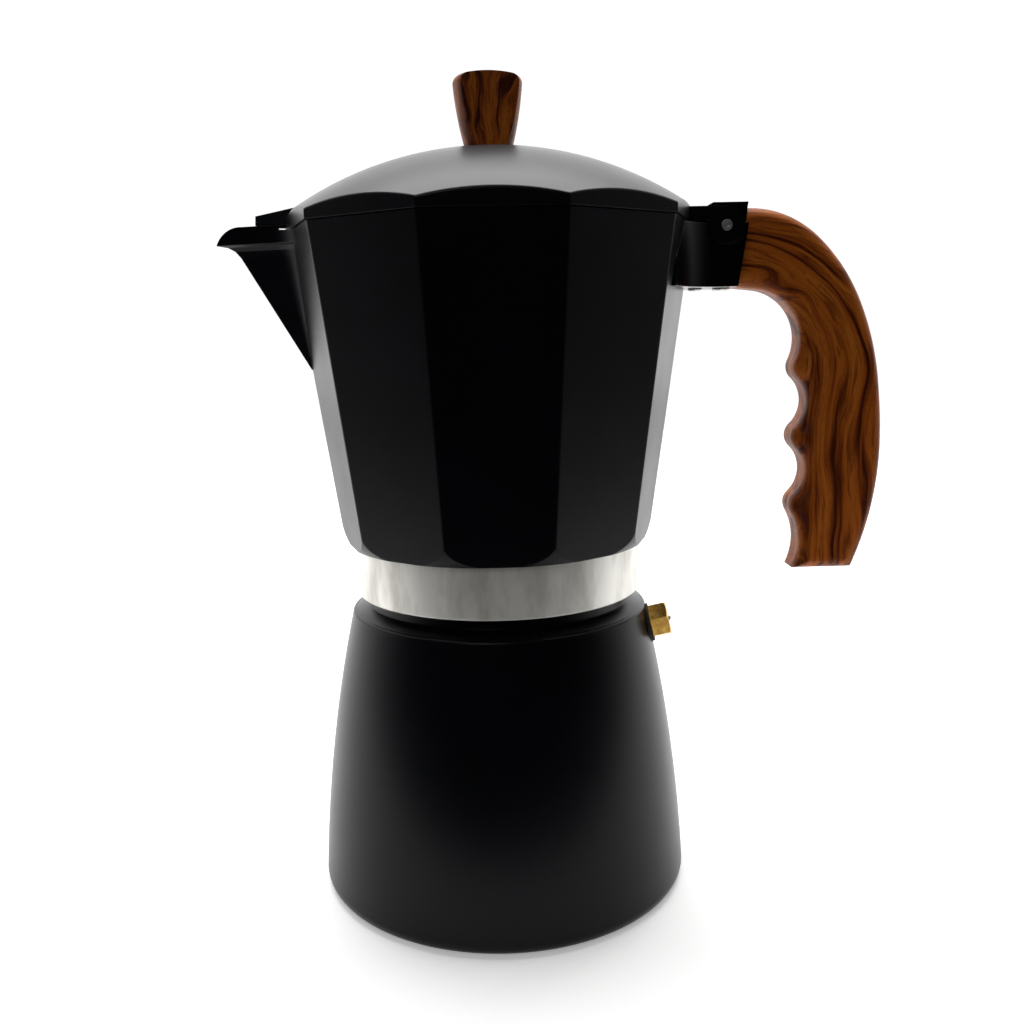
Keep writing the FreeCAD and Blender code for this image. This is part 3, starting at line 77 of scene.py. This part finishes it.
def add(tree, kind, links=None, stops=(), **settings):
    """Adds a node. Links feed its sockets, stops are the (place, hex colour) pairs of a colour ramp, and settings
    are its own properties, or in_NAME for the value of a socket."""
    node = tree.nodes.new(kind)
    for name, value in settings.items():
        if not name.startswith("in_"):
            setattr(node, name, value)
    for name, value in settings.items():
        if name.startswith("in_"):
            node.inputs[name[3:].replace("_", " ")].default_value = value
    for name, source in (links or {}).items():
        tree.links.new(source, node.inputs[name])
    for _ in stops[2:]:
        node.color_ramp.elements.new(0.5)
    for index, (place, code) in enumerate(stops):
        node.color_ramp.elements[index].position = place
        node.color_ramp.elements[index].color = srgb(code)
    return node


def new_material(name):
    """A node material, with its tree, its shader and the object's own coordinates in metres."""
    material = bpy.data.materials.new(name)
    material.use_nodes = True
    tree = material.node_tree
    where = add(tree, "ShaderNodeTexCoord").outputs["Object"]
    return material, tree, tree.nodes["Principled BSDF"], where


def cover(tree, shader, colour, tone, rough, relief, depth, rounding):
    """Feeds the shader its colour, a roughness that follows the tone between two values, and a relief of a
    given depth over edges rounded by a given radius, both in mm."""
    spread = add(tree, "ShaderNodeMapRange", {"Value": tone}, in_To_Min=rough[0], in_To_Max=rough[1])
    edge = add(tree, "ShaderNodeBevel", samples=6, in_Radius=rounding * MM)
    bump = add(tree, "ShaderNodeBump", {"Height": relief, "Normal": edge.outputs["Normal"]},
               in_Strength=1.0, in_Distance=depth * MM)
    tree.links.new(colour, shader.inputs["Base Color"])
    tree.links.new(spread.outputs["Result"], shader.inputs["Roughness"])
    tree.links.new(bump.outputs["Normal"], shader.inputs["Normal"])


def make_satin_enamel():
    """Silicone-polyester enamel sprayed on cast aluminium and baked: near black with a trace of navy, satin,
    with the fine orange peel of spray paint and faint cloudy changes of gloss."""
    material, tree, shader, where = new_material("satin black enamel")
    peel = add(tree, "ShaderNodeTexNoise", {"Vector": where}, in_Scale=per_mm(0.9), in_Detail=2.0)
    cloud = add(tree, "ShaderNodeTexNoise", {"Vector": where},
                in_Scale=per_mm(24), in_Detail=4.0, in_Roughness=0.6).outputs["Fac"]
    tint = add(tree, "ShaderNodeValToRGB", {"Fac": cloud}, stops=((0.3, "#010205"), (0.7, "#03040B")))
    cover(tree, shader, tint.outputs["Color"], tone=cloud, rough=(0.27, 0.37),
          relief=peel.outputs["Fac"], depth=0.008, rounding=0.5)
    shader.inputs["IOR"].default_value = 1.5
    shader.inputs["Specular IOR Level"].default_value = 0.14
    return material


def make_turned_aluminium():
    """Turned cast aluminium: bright, with turning lines round it and soft upright grey smudges painted into its
    colour as reflections, with the roughness following them.
    The lines are drawn 0.35 mm apart, coarser than a fine cut leaves them, so that they show."""
    material, tree, shader, where = new_material("turned aluminium")
    round_it = add(tree, "ShaderNodeMapping", {"Vector": where}, in_Scale=(0.02, 0.02, 1.0))
    lines = add(tree, "ShaderNodeTexNoise", {"Vector": round_it.outputs["Vector"]},
                in_Scale=per_mm(0.35), in_Detail=2.0)
    # painted reflections: soft upright grey smudges, lighter and darker, painted into the colour, with the roughness
    # following them
    upright = add(tree, "ShaderNodeMapping", {"Vector": where}, in_Scale=(1.0, 1.0, 0.35))
    painted_reflection_smudges = add(tree, "ShaderNodeTexNoise", {"Vector": upright.outputs["Vector"]},
                in_Scale=per_mm(9), in_Detail=3.0, in_Roughness=0.6).outputs["Fac"]
    tint = add(tree, "ShaderNodeValToRGB", {"Fac": painted_reflection_smudges}, stops=((0.34, "#D2CFC6"), (0.60, "#F6F4EE")))
    cover(tree, shader, tint.outputs["Color"], tone=painted_reflection_smudges, rough=(0.48, 0.34),
          relief=lines.outputs["Fac"], depth=0.006, rounding=0.3)
    shader.inputs["Metallic"].default_value = 0.6
    return material


def make_spun_aluminium():
    """Spun and cast aluminium left bare inside the pot: satin, dulled a little by steam."""
    material, tree, shader, where = new_material("spun aluminium")
    round_it = add(tree, "ShaderNodeMapping", {"Vector": where}, in_Scale=(0.04, 0.04, 1.0))
    lines = add(tree, "ShaderNodeTexNoise", {"Vector": round_it.outputs["Vector"]},
                in_Scale=per_mm(0.5), in_Detail=2.0)
    cloud = add(tree, "ShaderNodeTexNoise", {"Vector": where}, in_Scale=per_mm(14), in_Detail=4.0).outputs["Fac"]
    tint = add(tree, "ShaderNodeValToRGB", {"Fac": cloud}, stops=((0.3, "#AEAEAC"), (0.7, "#C8C8C6")))
    cover(tree, shader, tint.outputs["Color"], tone=cloud, rough=(0.34, 0.46),
          relief=lines.outputs["Fac"], depth=0.01, rounding=0.2)
    shader.inputs["Metallic"].default_value = 1.0
    return material


def make_machined_steel():
    """Machined stainless fasteners: pale and satin, with a fine uneven sheen."""
    material, tree, shader, where = new_material("machined stainless steel")
    sheen = add(tree, "ShaderNodeTexNoise", {"Vector": where}, in_Scale=per_mm(0.25), in_Detail=2.0).outputs["Fac"]
    tint = add(tree, "ShaderNodeValToRGB", {"Fac": sheen}, stops=((0.3, "#B9B9B7"), (0.7, "#D6D6D4")))
    cover(tree, shader, tint.outputs["Color"], tone=sheen, rough=(0.3, 0.42),
          relief=sheen, depth=0.004, rounding=0.15)
    shader.inputs["Metallic"].default_value = 1.0
    return material


def make_machined_brass():
    """Free-cutting brass, machined and a little tarnished: golden, with darker and duller patches."""
    material, tree, shader, where = new_material("machined brass")
    marks = add(tree, "ShaderNodeTexNoise", {"Vector": where}, in_Scale=per_mm(0.4), in_Detail=2.0)
    tarnish = add(tree, "ShaderNodeTexNoise", {"Vector": where},
                  in_Scale=per_mm(2.5), in_Detail=4.0, in_Roughness=0.6).outputs["Fac"]
    tint = add(tree, "ShaderNodeValToRGB", {"Fac": tarnish}, stops=((0.3, "#A87B3A"), (0.7, "#D9B25E")))
    cover(tree, shader, tint.outputs["Color"], tone=tarnish, rough=(0.34, 0.2),
          relief=marks.outputs["Fac"], depth=0.006, rounding=0.2)
    shader.inputs["Metallic"].default_value = 1.0
    return material


def make_silicone():
    """White moulded silicone: matt and slightly translucent."""
    material, tree, shader, where = new_material("white silicone")
    skin = add(tree, "ShaderNodeTexNoise", {"Vector": where}, in_Scale=per_mm(1.2), in_Detail=3.0).outputs["Fac"]
    tint = add(tree, "ShaderNodeValToRGB", {"Fac": skin}, stops=((0.3, "#DAD8D0"), (0.7, "#E8E6E0")))
    cover(tree, shader, tint.outputs["Color"], tone=skin, rough=(0.55, 0.68),
          relief=skin, depth=0.01, rounding=0.2)
    shader.inputs["Subsurface Weight"].default_value = 0.1
    return material


def make_fibre():
    """Pressed dark fibre: matt, with short pale fibres."""
    material, tree, shader, where = new_material("pressed fibre")
    flat = add(tree, "ShaderNodeMapping", {"Vector": where}, in_Scale=(1.0, 1.0, 0.3))
    fibres = add(tree, "ShaderNodeTexNoise", {"Vector": flat.outputs["Vector"]},
                 in_Scale=per_mm(0.4), in_Detail=4.0).outputs["Fac"]
    tint = add(tree, "ShaderNodeValToRGB", {"Fac": fibres}, stops=((0.4, "#191513"), (0.8, "#3A312B")))
    cover(tree, shader, tint.outputs["Color"], tone=fibres, rough=(0.7, 0.9),
          relief=fibres, depth=0.02, rounding=0.1)
    return material


def make_phenolic():
    """Black phenolic moulding: semi-gloss, with the faint flow marks of a moulded part."""
    material, tree, shader, where = new_material("black phenolic moulding")
    skin = add(tree, "ShaderNodeTexNoise", {"Vector": where}, in_Scale=per_mm(0.6), in_Detail=2.0)
    flow = add(tree, "ShaderNodeTexNoise", {"Vector": where}, in_Scale=per_mm(11), in_Detail=3.0).outputs["Fac"]
    tint = add(tree, "ShaderNodeValToRGB", {"Fac": flow}, stops=((0.3, "#010101"), (0.7, "#030303")))
    cover(tree, shader, tint.outputs["Color"], tone=flow, rough=(0.2, 0.3),
          relief=skin.outputs["Fac"], depth=0.004, rounding=0.35)
    shader.inputs["IOR"].default_value = 1.55
    shader.inputs["Specular IOR Level"].default_value = 0.1
    return material


LINE_SPACING = 2.6
HAIR_SPACING = 0.8
PORE_WIDTH = 0.35
DRIFT_LENGTH = 16
DRIFT = 9.0


def make_wood_film(name, stretch):
    """Wood-grain film under a satin lacquer, as dipped on a moulded grip: warm orange-brown with long darker
    growth lines and short pores. The mesh carries each point's place in the grain as "grain", in mm: across the
    lines, through the thickness and along the grip. Stretch shortens the figure for a small piece."""
    material, tree, shader, _ = new_material(name)
    grain = add(tree, "ShaderNodeAttribute", attribute_type="GEOMETRY", attribute_name="grain").outputs["Vector"]

    # the lines wander slowly from side to side
    slow = add(tree, "ShaderNodeMapping", {"Vector": grain}, in_Scale=(1.0, 1.0, 0.3 * stretch))
    drift = add(tree, "ShaderNodeTexNoise", {"Vector": slow.outputs["Vector"]},
                in_Scale=1 / DRIFT_LENGTH, in_Detail=2.0)
    sideways = add(tree, "ShaderNodeMapRange", {"Value": drift.outputs["Fac"]}, in_To_Min=-DRIFT, in_To_Max=DRIFT)
    push = add(tree, "ShaderNodeCombineXYZ", {"X": sideways.outputs["Result"]})
    wandering = add(tree, "ShaderNodeVectorMath", {0: push.outputs["Vector"], 1: grain}, operation="ADD")

    # growth lines, finer hairlines between them, and pores
    drawn = add(tree, "ShaderNodeMapping", {"Vector": wandering.outputs["Vector"]},
                in_Scale=(1.0, 0.5, 0.045 * stretch))
    lines = add(tree, "ShaderNodeTexNoise", {"Vector": drawn.outputs["Vector"]},
                in_Scale=1 / LINE_SPACING, in_Detail=2.5, in_Roughness=0.5, in_Distortion=0.35)
    hair = add(tree, "ShaderNodeTexNoise", {"Vector": drawn.outputs["Vector"]},
               in_Scale=1 / HAIR_SPACING, in_Detail=3.0, in_Roughness=0.6, in_Distortion=0.2).outputs["Fac"]
    short = add(tree, "ShaderNodeMapping", {"Vector": grain}, in_Scale=(1.0, 1.0, 0.12 * stretch))
    pores = add(tree, "ShaderNodeTexNoise", {"Vector": short.outputs["Vector"]},
                in_Scale=1 / PORE_WIDTH, in_Detail=2.0)

    base = add(tree, "ShaderNodeValToRGB", {"Fac": lines.outputs["Fac"]},
               stops=((0.34, "#4A1904"), (0.43, "#86400F"), (0.52, "#A85618"), (0.70, "#BC6A22")))
    streaks = add(tree, "ShaderNodeValToRGB", {"Fac": hair}, stops=((0.34, "#6A3A1A"), (0.50, WHITE)))
    specks = add(tree, "ShaderNodeValToRGB", {"Fac": pores.outputs["Fac"]}, stops=((0.30, "#5A3016"), (0.42, WHITE)))
    lined = add(tree, "ShaderNodeMix", {COLOUR_A: base.outputs["Color"], COLOUR_B: streaks.outputs["Color"]},
                data_type="RGBA", blend_type="MULTIPLY", in_Factor=0.6)
    pored = add(tree, "ShaderNodeMix", {COLOUR_A: lined.outputs[COLOUR_RESULT], COLOUR_B: specks.outputs["Color"]},
                data_type="RGBA", blend_type="MULTIPLY", in_Factor=0.4)
    cover(tree, shader, pored.outputs[COLOUR_RESULT], tone=hair, rough=(0.5, 0.38),
          relief=hair, depth=0.02, rounding=0.3)
    shader.inputs["IOR"].default_value = 1.48
    shader.inputs["Specular IOR Level"].default_value = 0.12
    return material


FINISHES = {
    "coated_aluminium": make_satin_enamel(),
    "bare_aluminium": make_turned_aluminium(),
    "funnel_aluminium": make_spun_aluminium(),
    "stainless_steel": make_machined_steel(),
    "valve_brass": make_machined_brass(),
    "gasket_silicone": make_silicone(),
    "washer_fibre": make_fibre(),
    "bracket_plastic": make_phenolic(),
}

for part in record["subparts"]:
    finish = FINISHES.get(part["material_slot"])
    if finish:
        nodes[part["node"]].data.materials.clear()
        nodes[part["node"]].data.materials.append(finish)


# ---------------------------------------------------------------- wooden pieces

WELD = 0.002 * MM


def copy_of(node, name):
    """A new piece with the CAD node's shape, its faces joined into one skin."""
    mesh = bmesh.new()
    mesh.from_mesh(nodes[node].data)
    bmesh.ops.remove_doubles(mesh, verts=mesh.verts, dist=WELD)
    data = bpy.data.meshes.new(name)
    mesh.to_mesh(data)
    mesh.free()
    piece = bpy.data.objects.new(name, data)
    scene.collection.objects.link(piece)
    return piece


def give_grain(piece, where):
    """Stores each point's place in the grain, in mm, as worked out from its position."""
    grain = piece.data.attributes.new("grain", "FLOAT_VECTOR", "POINT")
    for point, value in zip(piece.data.vertices, grain.data):
        value.vector = where(point.co)


def smooth_by_angle(piece, degrees):
    """Soft shading, except where faces meet at more than the angle."""
    limit = math.radians(degrees)
    mesh = bmesh.new()
    mesh.from_mesh(piece.data)
    for face in mesh.faces:
        face.smooth = True
    for edge in mesh.edges:
        edge.smooth = len(edge.link_faces) == 2 and edge.calc_face_angle(0.0) < limit
    mesh.to_mesh(piece.data)
    mesh.free()


HANDLE_BACK, _, HANDLE_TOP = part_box("handle")[1]
BEND = Vector((HANDLE_BACK - 46 * MM, 0.0, HANDLE_TOP - 48 * MM))
GRAIN_PER_TURN = 44.0    # mm of grain per radian round the bend


def handle_grain(point):
    """The grain leaves the bracket along the neck, turns round the bend and runs down the grip."""
    across = point.x - BEND.x
    above = point.z - BEND.z
    if above >= 0:
        turn = math.atan2(across, above)
        return (math.hypot(across, above) / MM, point.y / MM, turn * GRAIN_PER_TURN)
    return (across / MM, point.y / MM, math.pi / 2 * GRAIN_PER_TURN - above / MM)


handle = copy_of("handle", "handle_grip")
smooth_by_angle(handle, 32)
give_grain(handle, handle_grain)
handle.data.materials.append(make_wood_film("wood-grain film", 1.0))
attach(handle, "top")
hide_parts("handle")


KNOB_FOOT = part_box("knob")[0][2]
KNOB_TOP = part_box("knob")[1][2]
FOOT_WIDTH = 0.62    # of the grain's width at the knob's top
ANOTHER_BOARD = 40    # mm across the grain from the handle's figure


def knob_grain(point):
    """The grain stands upright and draws together towards the knob's foot."""
    height = (point.z - KNOB_FOOT) / (KNOB_TOP - KNOB_FOOT)
    spread = 1.0 / (FOOT_WIDTH + (1 - FOOT_WIDTH) * height)
    return (point.x / MM * spread + ANOTHER_BOARD, point.y / MM * spread, point.z / MM)


knob = copy_of("knob", "knob_grip")
round_edges = knob.modifiers.new("rounded edges", "BEVEL")
round_edges.width = 0.9 * MM
round_edges.segments = 4
round_edges.limit_method = "ANGLE"
round_edges.angle_limit = math.radians(25)
smooth_by_angle(knob, 40)
give_grain(knob, knob_grain)
knob.data.materials.append(make_wood_film("wood-grain film on the knob", 2.2))
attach(knob, "lid")
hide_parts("knob")


# ---------------------------------------------------------------- floor, light and camera

PAPER_RADIUS = 0.95
PAPER_FRONT = 150 * MM    # how far the paper comes forward of the pot's axis


def make_paper():
    """Matt white studio paper, a little brighter than the light on it makes it."""
    material, tree, shader, where = new_material("studio paper")
    fibre = add(tree, "ShaderNodeTexNoise", {"Vector": where}, in_Scale=per_mm(3), in_Detail=2.0)
    tint = add(tree, "ShaderNodeValToRGB", {"Fac": fibre.outputs["Fac"]}, stops=((0.3, "#F6F6F5"), (0.7, "#FAFAFA")))
    tree.links.new(tint.outputs["Color"], shader.inputs["Base Color"])
    shader.inputs["Roughness"].default_value = 0.9
    shader.inputs["Specular IOR Level"].default_value = 0.0
    shader.inputs["Emission Color"].default_value = srgb(WHITE)
    shader.inputs["Emission Strength"].default_value = 0.30
    return material


def build_floor():
    """A round sheet of paper that lies just under the pot."""
    mesh = bmesh.new()
    bmesh.ops.create_circle(mesh, cap_ends=True, segments=96, radius=PAPER_RADIUS)
    data = bpy.data.meshes.new("floor")
    mesh.to_mesh(data)
    mesh.free()
    floor = bpy.data.objects.new("floor", data)
    floor.location = (0, PAPER_RADIUS - PAPER_FRONT, -0.05 * MM)
    scene.collection.objects.link(floor)
    data.materials.append(make_paper())


def build_world():
    """A studio with bright walls behind the pot and dim ones in front of it. The camera sees it plain white."""
    world = bpy.data.worlds.new("studio")
    scene.world = world
    world.use_nodes = True
    tree = world.node_tree
    background = tree.nodes["Background"]
    direction = add(tree, "ShaderNodeTexCoord").outputs["Generated"]
    parts = add(tree, "ShaderNodeSeparateXYZ", {"Vector": direction})
    depth = add(tree, "ShaderNodeMapRange", {"Value": parts.outputs["Y"]}, interpolation_type="SMOOTHSTEP",
                in_From_Min=-0.35, in_From_Max=0.80, in_To_Min=0.03, in_To_Max=1.75)
    seen = add(tree, "ShaderNodeLightPath").outputs["Is Camera Ray"]
    strength = add(tree, "ShaderNodeMix", {"Factor": seen, "A": depth.outputs["Result"]},
                   data_type="FLOAT", in_B=1.05)
    tree.links.new(strength.outputs["Result"], background.inputs["Strength"])
    background.inputs["Color"].default_value = srgb(WHITE)


def add_light(name, place, target, size, power):
    """A rectangular lamp that faces its target. Places and sizes are in metres and power in watts."""
    light = bpy.data.lights.new(name, "AREA")
    light.shape = "RECTANGLE"
    light.size, light.size_y = size
    light.energy = power
    lamp = bpy.data.objects.new(name, light)
    lamp.location = place
    lamp.rotation_euler = (Vector(target) - Vector(place)).to_track_quat("-Z", "Y").to_euler()
    scene.collection.objects.link(lamp)


EYE = Vector((4.9, -340, 181.95)) * MM
LOOK_DOWN = math.radians(9.87)
ROLL = math.radians(-1.2)
ROUND_POT = math.radians(-1.5)    # the eye stands this far round the pot from straight in front


def build_camera():
    """Eye above the pot's middle, looking slightly down, with a slight roll."""
    camera = bpy.data.cameras.new("camera")
    camera.lens = 36.6
    camera.sensor_width = 36.0
    camera.dof.use_dof = False
    eye = bpy.data.objects.new("camera", camera)
    turn = Matrix.Rotation(ROUND_POT, 3, "Z")
    tilt = Matrix.Rotation(math.pi / 2 - LOOK_DOWN, 3, "X")
    eye.location = turn @ EYE
    eye.rotation_euler = (turn @ tilt @ Matrix.Rotation(ROLL, 3, "Z")).to_euler()
    scene.collection.objects.link(eye)
    scene.camera = eye


build_floor()
build_world()
add_light("top light", place=(0.0, 0.35, 1.3), target=(0, 0, 0.1), size=(1.2, 0.9), power=18.0)
add_light("front fill", place=(-0.25, -0.9, 0.9), target=(0, 0, 0.12), size=(0.5, 0.5), power=2.0)
build_camera()
scene.view_settings.view_transform = "Standard"
